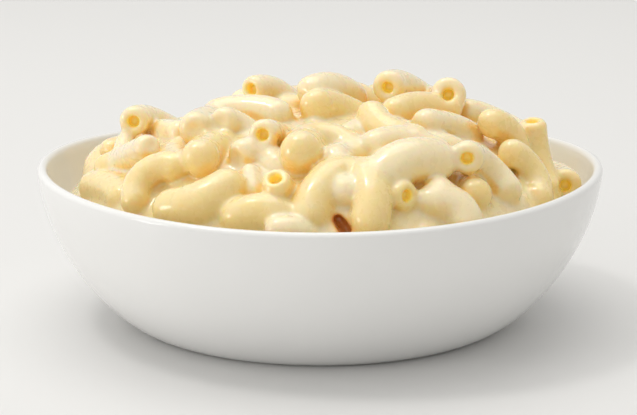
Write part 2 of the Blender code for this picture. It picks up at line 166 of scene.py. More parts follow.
# Each shown noodle has the state of its first end, its radius in millimetres and three places
# on its centre line: that end, the bend and the other end. A place is (pixels across, pixels
# down, millimetres away from the viewer), with 0 over the bowl's centre. The bore shows in an
# OPEN end, a film of sauce lies over a FILM end, and sauce rounds off a SHUT one.
OPEN = "open"
FILM = "film"
SHUT = "shut"
SHOWN_NOODLES = {
    "left_shoulder": (OPEN, 4.0, (133, 122, -13), (146, 120, -4), (172, 131, 3)),
    "left_dimple": (FILM, 4.5, (194, 130, -30), (200, 125, -22), (214, 123, -14)),
    "left_facing": (FILM, 3.8, (152, 145, -35), (139, 153, -28), (124, 161, -17)),
    "left_knob": (SHUT, 4.8, (199, 160, -48), (203, 154, -40), (212, 147, -32)),
    "left_big_bend": (SHUT, 3.8, (184, 172, -44), (147, 173, -41), (135, 204, -46)),
    "left_lip": (SHUT, 4.5, (87, 189, -18), (104, 188, -24), (120, 196, -32)),
    "left_high": (SHUT, 3.7, (103, 155, -9), (121, 148, -4), (143, 148, 3)),
    "left_low": (SHUT, 3.7, (96, 173, -15), (114, 165, -14), (138, 160, -10)),
    "front_left_long": (SHUT, 5.1, (161, 207, -50), (200, 203, -55), (238, 180, -51)),
    "top_left_mouth": (OPEN, 3.8, (250, 90, -3), (268, 89, 3), (288, 101, 7)),
    "top_left_long": (SHUT, 4.5, (205, 121, -13), (250, 111, -13), (287, 122, -19)),
    "mid_left_slit": (FILM, 3.8, (220, 121, -28), (236, 125, -23), (256, 140, -24)),
    "mid_left_ring": (OPEN, 3.7, (262, 135, -43), (272, 134, -36), (285, 141, -30)),
    "mid_left_arch": (FILM, 3.9, (236, 157, -44), (254, 154, -41), (277, 168, -45)),
    "front_mouth": (OPEN, 3.9, (275, 177, -59), (281, 189, -56), (304, 200, -51)),
    "front_low_left": (SHUT, 4.6, (230, 227, -58), (257, 211, -60), (287, 224, -60)),
    "front_low_mid": (SHUT, 3.6, (268, 234, -65), (285, 230, -66), (303, 235, -65)),
    "front_leg_left": (SHUT, 5.0, (356, 173, -48), (320, 190, -56), (309, 226, -62)),
    "front_leg_right": (SHUT, 5.1, (352, 175, -48), (372, 189, -57), (369, 224, -63)),
    "front_mouth_low": (OPEN, 3.7, (409, 196, -59), (394, 193, -54), (381, 188, -46)),
    "middle_blob": (SHUT, 5.9, (444, 173, -44), (420, 160, -48), (389, 172, -52)),
    "middle_wedge": (SHUT, 3.4, (378, 166, -48), (388, 160, -43), (402, 158, -38)),
    "top_arch": (SHUT, 4.6, (303, 98, -8), (327, 89, -2), (350, 97, 5)),
    "top_arch_low": (SHUT, 4.8, (311, 108, -19), (328, 107, -11), (352, 116, -7)),
    "top_mouth": (OPEN, 4.6, (387, 88, -3), (401, 87, 6), (424, 100, 12)),
    "top_bend_near": (SHUT, 4.1, (370, 106, -21), (374, 118, -25), (390, 133, -31)),
    "top_bend_far": (SHUT, 4.0, (387, 116, -17), (405, 109, -12), (430, 107, -8)),
    "top_right_mouth": (OPEN, 4.9, (448, 95, -6), (446, 97, 3), (434, 106, 12)),
    "top_right_back": (SHUT, 4.0, (458, 112, 2), (483, 117, 5), (508, 128, 3)),
    "right_arch_small": (SHUT, 4.3, (420, 126, -27), (438, 125, -20), (466, 137, -14)),
    "right_end_up": (SHUT, 4.1, (484, 126, -21), (496, 124, -18), (508, 132, -16)),
    "right_tube": (OPEN, 3.9, (532, 120, -11), (534, 142, -11), (543, 177, -15)),
    "right_ring": (OPEN, 4.2, (467, 159, -48), (483, 165, -39), (512, 199, -42)),
    "right_arch": (SHUT, 4.0, (506, 153, -29), (525, 163, -25), (539, 193, -29)),
    "right_edge": (OPEN, 4.3, (565, 186, -17), (562, 181, -8), (550, 175, 2)),
    "middle_arch": (SHUT, 4.2, (293, 147, -39), (326, 138, -36), (353, 153, -41)),
    "middle_end": (SHUT, 5.2, (300, 153, -53), (304, 150, -43), (316, 147, -34)),
    "middle_small": (SHUT, 4.1, (332, 163, -50), (344, 158, -42), (357, 164, -36)),
    "middle_long": (SHUT, 4.2, (366, 151, -44), (400, 143, -38), (438, 154, -38)),
    "low_right_big": (SHUT, 4.7, (426, 213, -58), (447, 204, -56), (467, 218, -57)),
    "low_right_end": (SHUT, 4.2, (478, 197, -51), (470, 191, -42), (459, 187, -34)),
}

# Deep dark gaps between noodles, with a radius and three places like a noodle's; they are cut into the
# skin, and their walls get painted shade.
DARK_GAPS = {
    "leg_gap_high": (1.1, (336, 221, -69), (337, 220, -63), (339, 218, -57)),
    "leg_gap_middle": (1.3, (340, 226, -70), (341, 225, -64), (343, 223, -58)),
    "leg_gap_low": (1.4, (344, 233, -71), (345, 231, -65), (347, 229, -59)),
}

# Noodles whose sauce lies thin, so that the yellow of the pasta shows through.
THINLY_SAUCED = {
    "left_knob", "left_big_bend", "left_lip", "left_high", "left_low", "front_left_long", "front_mouth",
    "top_arch_low", "top_bend_near", "top_bend_far", "middle_arch", "middle_end", "middle_wedge",
    "front_leg_left", "front_leg_right", "front_mouth_low", "right_tube", "right_arch", "right_edge",
    "right_end_up", "low_right_end", "front_low_left",
}

# Runs of sauce that hang between the noodles, with their radius and three places like a noodle's.
SAUCE_RUNS = {
    "leg_web": (4.0, (347, 180, -54), (344, 192, -57), (343, 204, -60)),
    "left_neck": (2.5, (127, 136, -10), (124, 148, -14), (122, 163, -17)),
    "left_saddle": (3.2, (160, 131, -6), (172, 131, -14), (184, 133, -20)),
    "front_left_web": (2.6, (247, 167, -46), (251, 181, -50), (252, 198, -55)),
    "right_web": (3.0, (505, 130, -14), (516, 134, -11), (529, 140, -10)),
    "blob_skirt": (3.4, (428, 186, -52), (440, 191, -53), (448, 198, -54)),
}

CREAM = (0.89, 0.77, 0.51, 1)
YELLOW = (0.88, 0.69, 0.30, 1)
# Painted shade: a deeper orange put into the crevices between noodles, where shade falls.
CREVICE_SHADE = (0.91, 0.60, 0.16, 1)
# Painted shade: a dark red-brown put into the deep gaps between noodles, where shade falls.
GAP_SHADE = (0.80, 0.36, 0.09, 1)
BORE = (0.98, 0.77, 0.20, 1)
# Painted light: an orange glow given off inside the open bores, which hold no lamp.
PAINTED_BORE_GLOW = (1.0, 0.60, 0.03, 1)
GLAZE_DARK = (0.80, 0.795, 0.78, 1)
GLAZE_PALE = (0.84, 0.835, 0.82, 1)

# Each noise has a scale and a detail. Each range has two values in and the two they become.
MOTTLE_NOISE = (160.0, 3.0)
MOTTLE_RANGE = (0.3, 0.7, -0.12, 0.12)
THINNESS_RANGE = (0.0, 1.0, -0.12, 0.55)
# How much the painted shade on the side turned from the light adds towards yellow.
SIDE_SHADE_RANGE = (0.05, 0.75, 0.0, 0.75)
EASED_RANGE = (0.0, 1.0, 0.0, 1.0)
# How closed the skin must be before the painted crevice shade shows.
CREVICE_SHADE_RANGE = (0.08, 0.58, 0.85, 0.0)
# How strong the painted glow in the bores is.
PAINTED_GLOW_RANGE = (0.2, 1.0, 0.0, 0.09)
GLOSS_NOISE = (420.0, 2.0)
GLOSS_RANGE = (0.3, 0.7, 0.22, 0.36)
PASTA_NOISE = (300.0, 3.0)
PASTA_BUMP = 0.12
GLAZE_NOISE = (28.0, 2.0)
GLAZE_BUMP = 0.04
BUMP_DISTANCE = 0.0004
SAUCE_INPUTS = {
    # Colour of the painted glow in the bores.
    "Emission Color": PAINTED_BORE_GLOW,
    "Subsurface Weight": 0.75,
    "Subsurface Radius": (1.0, 0.6, 0.22),
    "Subsurface Scale": 0.0022,
    "Coat Weight": 0.6,
    "Coat Roughness": 0.07,
}
GLAZE_INPUTS = {"Roughness": 0.12}
STAGE_INPUTS = {"Base Color": (0.75, 0.745, 0.735, 1), "Roughness": 0.5}
STAGE_SIZE = 6.0

# Each light has a place, a size in metres, a power in watts and a colour.
LIGHT_TARGET = (0.0, 0.0, 0.04)
LIGHTS = {
    "overhead": ((-0.10, 0.30, 1.7), 1.6, 10.0, (1.0, 0.985, 0.955)),
    "sparkle": ((-0.55, -0.05, 1.3), 0.26, 2.6, (1.0, 0.99, 0.97)),
    "side": ((-0.9, -0.40, 0.16), 0.30, 1.5, (1.0, 0.99, 0.98)),
}
STUDIO_COLOUR = (1.0, 0.995, 0.975, 1)
STUDIO_RANGE = (-0.9, 0.5, 0.86, 0.67)


def side_radius(z, foot_z, foot_radius, rim_radius):
    """Radius of the bowl's curved side at height z, for its outer or its inner face."""
    share = np.clip((z - foot_z) / (RIM_HEIGHT - foot_z), 0.0, 1.0)
    bulge = (1 - (1 - share) ** SIDE_POWER) ** (1 / SIDE_ROOT)
    return foot_radius + (rim_radius - foot_radius) * bulge


def outer_radius(z):
    return side_radius(z, 0.0, FOOT_RADIUS, BOWL_RADIUS)


def inner_radius(z):
    return side_radius(z, FLOOR_HEIGHT, FLOOR_RADIUS, BOWL_RADIUS - RIM_THICKNESS)


def side_heights(low, high, steps):
    """Heights that lie closer together near the low end, where the side curves most."""
    return [low + (high - low) * (i / steps) ** SIDE_CROWDING for i in range(steps + 1)]


def back_drop(y):
    """How much lower the heap's far side lies than its near side."""
    return HEAP_BACK_DROP * np.maximum(y, 0) / HEAP_RADIUS


def heap_height(x, y):
    """Height of the heap's uneven top, taken over the crowns of its noodles."""
    share = np.minimum(np.hypot(x, y) / HEAP_RADIUS, 1.0)
    return HEAP_EDGE + HEAP_RISE * (1 - share ** HEAP_POWER) ** HEAP_ROOT - back_drop(y)


def view_axes():
    """The eye of the picture, the way it looks and the picture's up direction."""
    lean = np.array([0.0, math.cos(VIEW_ELEVATION), -math.sin(VIEW_ELEVATION)])
    up = np.array([0.0, math.sin(VIEW_ELEVATION), math.cos(VIEW_ELEVATION)])
    eye = np.array([VIEW_SIDE, 0.0, VIEW_HEIGHT]) - VIEW_DISTANCE * lean
    return eye, lean, up


def picture_point(across, down, away):
    """The point seen at a picture's pixel, at a distance beyond the bowl's centre in millimetres."""
    eye, lean, up = view_axes()
    ray = lean + (across - PICTURE_CENTRE[0]) / FOCAL_PIXELS * np.array([1.0, 0.0, 0.0])
    ray = ray - (down - PICTURE_CENTRE[1]) / FOCAL_PIXELS * up
    return eye + ray * (away - eye[1]) / ray[1]


class Arc:
    """A round tube's centre line: an arc through three points, lengthened at its last end."""

    def __init__(self, start, middle, end, tube_radius, shortest):
        self.tube_radius = tube_radius
        self.thinness = 0.0
        a = start - end
        b = middle - end
        normal = np.cross(a, b)
        offset = np.cross((a @ a) * b - (b @ b) * a, normal) / (2 * (normal @ normal))
        self.centre = end + offset
        self.radius = np.linalg.norm(start - self.centre)
        self.across = (start - self.centre) / self.radius
        self.normal = normal / np.linalg.norm(normal)
        self.along = np.cross(self.normal, self.across)
        if self.angle_of(middle) > self.angle_of(end):
            self.normal = -self.normal
            self.along = -self.along
        bend = max(self.angle_of(end), shortest / self.radius)
        self.bend = min(bend, max(LARGEST_BEND, self.angle_of(end)))

    def angle_of(self, point):
        spoke = point - self.centre
        return math.atan2(spoke @ self.along, spoke @ self.across) % (2 * math.pi)

    def spoke(self, share):
        angle = self.bend * share
        return math.cos(angle) * self.across + math.sin(angle) * self.along

    def heading(self, share):
        angle = self.bend * share
        return math.cos(angle) * self.along - math.sin(angle) * self.across

    def point(self, share):
        return self.centre + self.radius * self.spoke(share)

    def line(self, count):
        return [self.point(i / (count - 1)) for i in range(count)]

    def move(self, shift):
        self.centre = self.centre + shift

    @property
    def length(self):
        return self.radius * self.bend


def wall_distance(point):
    """Distance from a point inside the bowl to its wall or rim, and below zero outside it."""
    rho = math.hypot(point[0], point[1])
    lip = RIM_THICKNESS / 2
    top = RIM_HEIGHT - RIM_SADDLE - lip
    nearest = math.hypot(rho - (BOWL_RADIUS - lip), point[2] - RIM_HEIGHT) - lip - RIM_SADDLE
    heights = np.linspace(FLOOR_HEIGHT, top, WALL_POINTS)
    nearest = min(nearest, np.hypot(rho - inner_radius(heights), point[2] - heights).min())
    if point[2] < top and rho > inner_radius(point[2]):
        return -nearest
    return nearest


def clear_of_bowl(arc):
    """Moves a noodle in towards the middle until it is clear of the bowl."""
    for _ in range(CLEARING_TRIES):
        line = arc.line(LINE_POINTS)
        need = arc.tube_radius + NOODLE_CLEARANCE - min(wall_distance(p) for p in line)
        if need <= 0:
            return
        middle = sum(line) / len(line)
        inward = -np.array([middle[0], middle[1], 0.0])
        arc.move(inward / np.linalg.norm(inward) * need * CLEARING_OVERSHOOT)


def placed_arc(radius, start, bend, end, shortest):
    """A tube along three places of the picture, moved clear of the bowl."""
    places = [picture_point(*place) for place in (start, bend, end)]
    arc = Arc(*places, radius, shortest)
    clear_of_bowl(arc)
    return arc


def shown_arcs():
    noodles = [(placed_arc(*places, NOODLE_LENGTH), state) for state, *places in SHOWN_NOODLES.values()]
    for (arc, _), name in zip(noodles, SHOWN_NOODLES):
        arc.thinness = 1.0 if name in THINLY_SAUCED else 0.0
    runs = [(placed_arc(*places, 0.0), SHUT) for places in SAUCE_RUNS.values()]
    return noodles + runs


def gap_arcs():
    return [
        Arc(*(picture_point(*place) for place in places), radius, 0.0)
        for radius, *places in DARK_GAPS.values()
    ]


def picture_place(point):
    """Where a point is seen: pixels across, pixels down, and pixels to a unit of length there."""
    eye, lean, up = view_axes()
    offset = point - eye
    scale = FOCAL_PIXELS / (offset @ lean)
    return PICTURE_CENTRE[0] + offset[0] * scale, PICTURE_CENTRE[1] - (offset @ up) * scale, scale


def crowns(arc):
    """For points along a noodle: the picture's columns it fills, its upper edge there, and the scale."""
    columns = np.arange(PICTURE_SIZE[0])
    for point in arc.line(LINE_POINTS):
        across, down, scale = picture_place(point)
        reach = arc.tube_radius * scale
        near = columns[np.abs(columns - across) < reach]
        yield near, down - np.sqrt(reach ** 2 - (near - across) ** 2), scale


def skyline(arcs):
    """The highest place that the shown noodles reach in or beside each column of the picture."""
    line = np.full(PICTURE_SIZE[0], float(PICTURE_SIZE[1]))
    for arc in arcs:
        for near, edge, _ in crowns(arc):
            line[near] = np.minimum(line[near], edge)
    return np.min([np.roll(line, shift) for shift in range(-SKY_REACH, SKY_REACH + 1)], axis=0)


def hide_behind(arc, sky):
    """Lowers a noodle until it stays under the skyline, or tells that it would sink too far."""
    sink = 0.0
    for near, edge, scale in crowns(arc):
        above = (sky[near] + SKY_MARGIN - edge) / scale
        sink = max(sink, above.max(initial=0.0))
    arc.move(np.array([0.0, 0.0, -sink]))
    clear_of_bowl(arc)
    return sink < SINK_LIMIT


def heap_frame(x, y):
    """A point on the middle of the top layer of noodles, and the heap's slope directions there."""
    height = heap_height(x, y)
    base = np.array([x, y, height - NOODLE_RADIUS])
    east = np.array([SLOPE_STEP, 0.0, heap_height(x + SLOPE_STEP, y) - height])
    north = np.array([0.0, SLOPE_STEP, heap_height(x, y + SLOPE_STEP) - height])
    upward = np.cross(east, north)
    upward = upward / np.linalg.norm(upward)
    east = east / np.linalg.norm(east)
    return base, east, np.cross(upward, east), upward


def fill_arc(x, y, heading, lean, lift):
    """A noodle that lies on the heap at (x, y), turned by its heading and leaning by its lean."""
    base, east, north, upward = heap_frame(x, y)
    along = math.cos(heading) * east + math.sin(heading) * north
    side = np.cross(upward, along)
    bow = math.cos(lean) * side + math.sin(lean) * upward
    middle = base + lift * upward + FILL_BOW * FILL_SAG * bow
    ends = [middle + s * FILL_HALF_CHORD * along - FILL_SAG * bow for s in (-1, 1)]
    arc = Arc(ends[0], middle, ends[1], NOODLE_RADIUS, NOODLE_LENGTH)
    clear_of_bowl(arc)
    return arc


def spacing(arc, others):
    """Smallest distance between the arc's centre line and the lines already placed."""
    mine = np.array(arc.line(LINE_POINTS))
    gaps = mine[:, None, :] - others[None, :, :]
    return np.sqrt((gaps ** 2).sum(axis=2)).min()


def fill_layer(draw, lines, sky, lift_range, room, nearest_y):
    """Noodles over the heap, each in the heading that leaves it the most room."""
    filled = []
    for i in range(SPIRAL_COUNT):
        reach = SPIRAL_RADIUS * math.sqrt((i + 0.5) / SPIRAL_COUNT)
        x = reach * math.cos(i * GOLDEN_ANGLE)
        y = reach * math.sin(i * GOLDEN_ANGLE)
        lift = draw.uniform(*lift_range)
        start = draw.uniform(0, math.pi)
        lean = math.radians(draw.uniform(*FILL_LEAN))
        state = OPEN if draw.random() < OPEN_SHARE else SHUT
        if y < nearest_y:
            continue
        trials = [fill_arc(x, y, start + math.tau * k / HEADINGS, lean, lift) for k in range(HEADINGS)]
        best = max(trials, key=lambda arc: spacing(arc, lines))
        if spacing(best, lines) < room or not hide_behind(best, sky):
            continue
        lines = np.vstack([lines, best.line(LINE_POINTS)])
        filled.append((best, state))
    return filled, lines


def all_arcs():
    """The shown noodles, a top layer behind them and two lower layers that close the gaps."""
    draw = random.Random(SEED)
    shown = shown_arcs()
    sky = skyline(arc for arc, _ in shown)
    lines = np.array([p for arc, _ in shown for p in arc.line(LINE_POINTS)])
    top, lines = fill_layer(draw, lines, sky, TOP_LIFT, TOP_ROOM, FRONT_LIMIT)
    low, lines = fill_layer(draw, lines, sky, LOW_LIFT, LOW_ROOM, -BOWL_RADIUS)
    deep, lines = fill_layer(draw, lines, sky, DEEP_LIFT, DEEP_ROOM, -BOWL_RADIUS)
    for arc, _ in top + low + deep:
        arc.thinness = draw.random()
    return shown + top + low + deep


class Field:
    """Signed distances in millimetres on a grid of voxels, below zero inside the heap."""

    def __init__(self, low, high, step):
        self.low = np.array(low, float)
        self.step = step
        counts = np.ceil((np.array(high) - self.low) / step).astype(int) + 1
        self.axes = [self.low[a] + step * np.arange(counts[a]) for a in range(3)]
        self.values = np.full(counts, FAR_OUTSIDE, np.float32)

    def window(self, low, high):
        """The part of the grid inside a box, and the coordinates of its points."""
        cuts = []
        for a in range(3):
            first = max(int((low[a] - self.low[a]) / self.step), 0)
            last = min(int((high[a] - self.low[a]) / self.step) + 2, len(self.axes[a]))
            cuts.append(slice(first, max(last, first)))
        x, y, z = (self.axes[a][cuts[a]].astype(np.float32) for a in range(3))
        return tuple(cuts), x[:, None, None], y[None, :, None], z[None, None, :]


def smooth_min(a, b, width):
    """The smaller of two distances, rounded over where they are within width of each other."""
    near = np.clip(width - np.abs(a - b), 0, None) / width
    return np.minimum(a, b) - near * near * near * width / 6


def arc_coordinates(arc, x, y, z):
    """Distance from an arc's centre line, and distance beyond its ends, which is below zero inside."""
    half = arc.bend / 2
    u = arc.spoke(0.5)
    v = arc.heading(0.5)
    px, py, pz = x - arc.centre[0], y - arc.centre[1], z - arc.centre[2]
    a = px * u[0] + py * u[1] + pz * u[2]
    b = px * v[0] + py * v[1] + pz * v[2]
    h = px * arc.normal[0] + py * arc.normal[1] + pz * arc.normal[2]
    angle = np.arctan2(b, a)
    side = np.sign(angle) + (angle == 0)
    inside = np.abs(angle) <= half
    ring = np.hypot(a, b) - arc.radius
    before = -arc.radius * (half - np.abs(angle))
    end_a = arc.radius * math.cos(half)
    end_b = arc.radius * math.sin(half)
    out_a, out_b = -math.sin(half), math.cos(half)
    ca = a - end_a
    cb = b * side - end_b
    beyond = ca * out_a + cb * out_b
    sideways = ca * math.cos(half) + cb * math.sin(half)
    beyond = np.where(inside, before, np.maximum(beyond, 0))
    rest = np.where(inside, ring, sideways)
    return np.sqrt(rest * rest + h * h), beyond, side


def tube_distance(arc, state, radius, x, y, z):
    """Signed distance from a bent tube with rounded ends."""
    reach, beyond, side = arc_coordinates(arc, x, y, z)
    shut = SHUT_ROUNDING * radius
    first = {OPEN: OPEN_ROUNDING, FILM: FILM_ROUNDING, SHUT: shut}[state]
    rounding = np.where(side < 0, first, shut)
    q = reach - (radius - rounding)
    w = beyond + rounding
    outside = np.hypot(np.maximum(q, 0), np.maximum(w, 0))
    return np.minimum(np.maximum(q, w), 0) + outside - rounding


def core_distance(x, y, z):
    """Roughly the signed distance from the core: the bowl's inside up to a sunken dome."""
    rho = np.hypot(x, y)
    dome = heap_height(x, y) - CORE_DEPTH
    wall = inner_radius(z) - BOWL_GAP
    return np.maximum((z - dome) * DOME_SLOPE, (rho - wall) * WALL_SLOPE)


def bore_distance(arc, state, x, y, z):
    """Signed distance from the hole down a noodle's first end, or from the dimple in its film."""
    reach, beyond, side = arc_coordinates(arc, x, y, z)
    from_end = np.where(side < 0, -beyond, arc.length)
    if state == FILM:
        return np.hypot(reach, from_end + FILM_SPHERE - FILM_DEPTH) - FILM_SPHERE
    return np.maximum(reach - BORE_RADIUS, from_end - BORE_DEPTH)


def wander(x, y, z, seed):
    """A smooth uneven field between about -1 and 1 that repeats nowhere near."""
    draw = random.Random(seed)
    total = 0.0
    for _ in range(WAVE_COUNT):
        wave = np.array([draw.gauss(0, 1) for _ in range(3)])
        wave = wave / np.linalg.norm(wave) * draw.uniform(*WAVE_PACE)
        total = total + np.sin(wave[0] * x + wave[1] * y + wave[2] * z + draw.uniform(0, math.tau))
    return total / WAVE_SHARE


def arc_box(arc, margin):
    line = np.array(arc.line(LINE_POINTS))
    return line.min(axis=0) - margin, line.max(axis=0) + margin


def heap_field(arcs):
    """The core with all noodles blended on, a little uneven, then with its bores and gaps cut in."""
    half = BOWL_RADIUS - SKIN_MARGIN
    field = Field((-half, -half, SKIN_LOW), (half, half, SKIN_HIGH), VOXEL)
    grid = np.ix_(*field.axes)
    field.values[:] = core_distance(*grid)
    draw = random.Random(SEED + 1)
    for arc, state in arcs:
        radius = arc.tube_radius * draw.uniform(*RADIUS_SHARES)
        cuts, x, y, z = field.window(*arc_box(arc, radius + SAUCE_BLEND + TUBE_MARGIN))
        tube = tube_distance(arc, state, radius, x, y, z)
        field.values[cuts] = smooth_min(field.values[cuts], tube, SAUCE_BLEND)
    uneven = UNEVENNESS * wander(*(axis * WAVE_STRETCH for axis in grid), SEED + 2)
    field.values += uneven.astype(np.float32)
    for arc, state in arcs:
        if state == SHUT:
            continue
        start = arc.point(0)
        margin = BORE_DEPTH + HOLE_MARGIN
        cuts, x, y, z = field.window(start - margin, start + margin)
        bore = bore_distance(arc, state, x, y, z)
        field.values[cuts] = -smooth_min(-field.values[cuts], bore, BORE_SOFTNESS)
    for arc in gap_arcs():
        cuts, x, y, z = field.window(*arc_box(arc, HOLE_MARGIN))
        gap = tube_distance(arc, SHUT, arc.tube_radius, x, y, z)
        field.values[cuts] = -smooth_min(-field.values[cuts], gap, BORE_SOFTNESS)
    return field


def surface_net(field):
    """A mesh of quads over the zero level of a field: one vertex in each cell that it crosses."""
    values = field.values
    inside = values < 0
    shape = np.array(values.shape) - 1
    total = int(shape.prod())
    sums = np.zeros((total, 3))
    counts = np.zeros(total)
    quads = []
    for axis in range(3):
        b, c = [(axis + 1) % 3, (axis + 2) % 3]
        low = [slice(None)] * 3
        high = [slice(None)] * 3
        low[axis] = slice(0, -1)
        high[axis] = slice(1, None)
        edge = np.argwhere(inside[tuple(low)] != inside[tuple(high)])
        keep = (edge[:, b] > 0) & (edge[:, b] < shape[b])
        edge = edge[keep & (edge[:, c] > 0) & (edge[:, c] < shape[c])]
        first = values[tuple(edge.T)]
        step = np.zeros(3, int)
        step[axis] = 1
        second = values[tuple((edge + step).T)]
        at = edge.astype(float)
        at[:, axis] += first / (first - second)
        corners = []
        for db, dc in ((0, 0), (-1, 0), (-1, -1), (0, -1)):
            cell = edge.copy()
            cell[:, b] += db
            cell[:, c] += dc
            flat = (cell[:, 0] * shape[1] + cell[:, 1]) * shape[2] + cell[:, 2]
            for a in range(3):
                sums[:, a] += np.bincount(flat, weights=at[:, a], minlength=total)
            counts += np.bincount(flat, minlength=total)
            corners.append(flat)
        quad = np.stack(corners, axis=1)
        flip = first > 0
        quad[flip] = quad[flip][:, ::-1]
        quads.append(quad)
    quads = np.concatenate(quads)
    used = np.flatnonzero(counts)
    number = np.full(total, -1, np.int64)
    number[used] = np.arange(len(used))
    places = field.low + field.step * sums[used] / counts[used][:, None]
    return places, number[quads]


def sample(field, places):
    """The field's value between grid points."""
    at = (places - field.low) / field.step
    base = np.clip(np.floor(at).astype(int), 0, np.array(field.values.shape) - 2)
    part = at - base
    total = 0.0
    for corner in np.ndindex(2, 2, 2):
        share = np.abs(1 - np.array(corner) - part).prod(axis=1)
        total = total + share * field.values[tuple((base + corner).T)]
    return total


def slope_of(field, places):
    """How fast the field grows along each axis."""
    step = field.step / 2
    return np.stack([
        sample(field, places + offset) - sample(field, places - offset) for offset in np.eye(3) * step
    ], axis=1) / (2 * step)


def settle(field, places):
    """Moves points along the field's slope towards its zero level."""
    slope = slope_of(field, places)
    size = np.maximum((slope ** 2).sum(axis=1), SMALLEST_SLOPE)
    return places - (sample(field, places) / size)[:, None] * slope


def relax(places, quads, rounds):
    """Evens out the net by moving each point halfway to the middle of its neighbours."""
    pairs = np.concatenate([quads[:, [a, (a + 1) % 4]] for a in range(4)])
    first, second = np.concatenate([pairs, pairs[:, ::-1]]).T
    total = len(places)
    count = np.bincount(first, minlength=total)[:, None]
    for _ in range(rounds):
        sums = [np.bincount(first, weights=column[second], minlength=total) for column in places.T]
        places = (places + np.stack(sums, axis=1) / count) / 2
    return places


def split_quads(field, places, quads):
    """Cuts each quad along the diagonal that lies nearer to the field's surface."""
    first = np.abs(sample(field, (places[quads[:, 0]] + places[quads[:, 2]]) / 2))
    second = np.abs(sample(field, (places[quads[:, 1]] + places[quads[:, 3]]) / 2))
    along_first = quads[:, [[0, 1, 2], [0, 2, 3]]]
    along_second = quads[:, [[1, 2, 3], [1, 3, 0]]]
    return np.where((first <= second)[:, None, None], along_first, along_second).reshape(-1, 3)


def mesh_object(name, places, faces):
    data = bpy.data.meshes.new(name)
    data.from_pydata(places.tolist(), [], faces.tolist())
    data.update()
    made = bpy.data.objects.new(name, data)
    bpy.context.scene.collection.objects.link(made)
    return made


def drop_scraps(places, quads):
    """Keeps the largest connected shell."""
    count = len(places)
    label = np.arange(count)
    pairs = np.concatenate([quads[:, [0, 1]], quads[:, [1, 2]], quads[:, [2, 3]]])
    while True:
        low = np.minimum(label[pairs[:, 0]], label[pairs[:, 1]])
        new = label.copy()
        np.minimum.at(new, pairs[:, 0], low)
        np.minimum.at(new, pairs[:, 1], low)
        new = new[new]
        if (new == label).all():
            break
        label = new
    names, sizes = np.unique(label, return_counts=True)
    keep = label == names[sizes.argmax()]
    number = np.cumsum(keep) - 1
    return places[keep], number[quads[keep[quads[:, 0]]]]


def outward_at(field, places):
    slope = slope_of(field, places)
    return slope / np.maximum(np.linalg.norm(slope, axis=1), TINY)[:, None]


def openness(field, places):
    """How free of neighbours each point of the skin is: near 1 on crowns and near 0 in crevices."""
    outward = outward_at(field, places)
    total = 0.0
    for reach in OPENNESS_REACH:
        total = total + np.clip(sample(field, places + outward * reach) / reach, 0, 1)
    return total / len(OPENNESS_REACH)


def nearby(arc, places, margin):
    """Numbers of the points within a box round an arc."""
    low, high = arc_box(arc, margin)
    return np.flatnonzero(((places > low) & (places < high)).all(axis=1))


def thinness(arcs, places):
    """How thin the sauce lies at each point, blended between the noodles that are near it."""
    total = np.full(len(places), TINT_START)
    weight = np.full(len(places), TINT_START_WEIGHT)
    for arc, state in arcs:
        near = nearby(arc, places, arc.tube_radius + 3 * TINT_REACH)
        distance = tube_distance(arc, state, arc.tube_radius, *places[near].T)
        share = np.exp(-np.maximum(distance, 0) / TINT_REACH)
        total[near] += share * arc.thinness
        weight[near] += share
    return total / weight


def boreness(arcs, places):
    """1 inside the noodles' open bores, and 0 away from them; it brings in the bare pasta's yellow and a
    painted glow there.
    """
    inside = np.zeros(len(places))
    for arc, state in arcs:
        if state != OPEN:
            continue
        near = nearby(arc, places, arc.tube_radius)
        distance = bore_distance(arc, state, *places[near].T)
        beyond = np.maximum(arc_coordinates(arc, *places[near].T)[1], 0)
        share = np.exp(-np.maximum(distance, 0) / BORE_FADE - beyond / MOUTH_FADE)
        inside[near] = np.maximum(inside[near], share)
    return inside


def painted_gap_shade(places):
    """Mask for the painted gap shade: 1 inside the deep gaps between noodles, and 0 away from them."""
    inside = np.zeros(len(places))
    for arc in gap_arcs():
        distance = tube_distance(arc, SHUT, arc.tube_radius, *places.T)
        inside = np.maximum(inside, np.exp(-np.maximum(distance, 0) / GAP_SHADE_FADE))
    return inside


def painted_side_shade(field, places):
    """Mask for painted shade on the side turned from the light: 0 where the skin faces up towards the
    light on the upper left, and 1 where it faces down, away from it.
    """
    upward = outward_at(field, places) @ np.array(LIGHT_SIDE)
    return np.clip((1 - upward) / 2, 0, 1)


def add_values(mesh, name, values):
    attribute = mesh.attributes.new(name, "FLOAT", "POINT")
    attribute.data.foreach_set("value", np.asarray(values, np.float32))


def make_heap():
    arcs = all_arcs()
    field = heap_field(arcs)
    places, quads = drop_scraps(*surface_net(field))
    for _ in range(EVENING_ROUNDS):
        places = settle(field, relax(places, quads, RELAX_ROUNDS))
    places = relax(places, quads, 1)
    heap = mesh_object("macaroni", places * MM, split_quads(field, places, quads))
    heap.data.shade_smooth()
    add_values(heap.data, "openness", openness(field, places))
    add_values(heap.data, "thinness", thinness(arcs, places))
    add_values(heap.data, "painted_side_shade", painted_side_shade(field, places))
    add_values(heap.data, "boreness", boreness(arcs, places))
    add_values(heap.data, "painted_gap_shade", painted_gap_shade(places))
    return heap


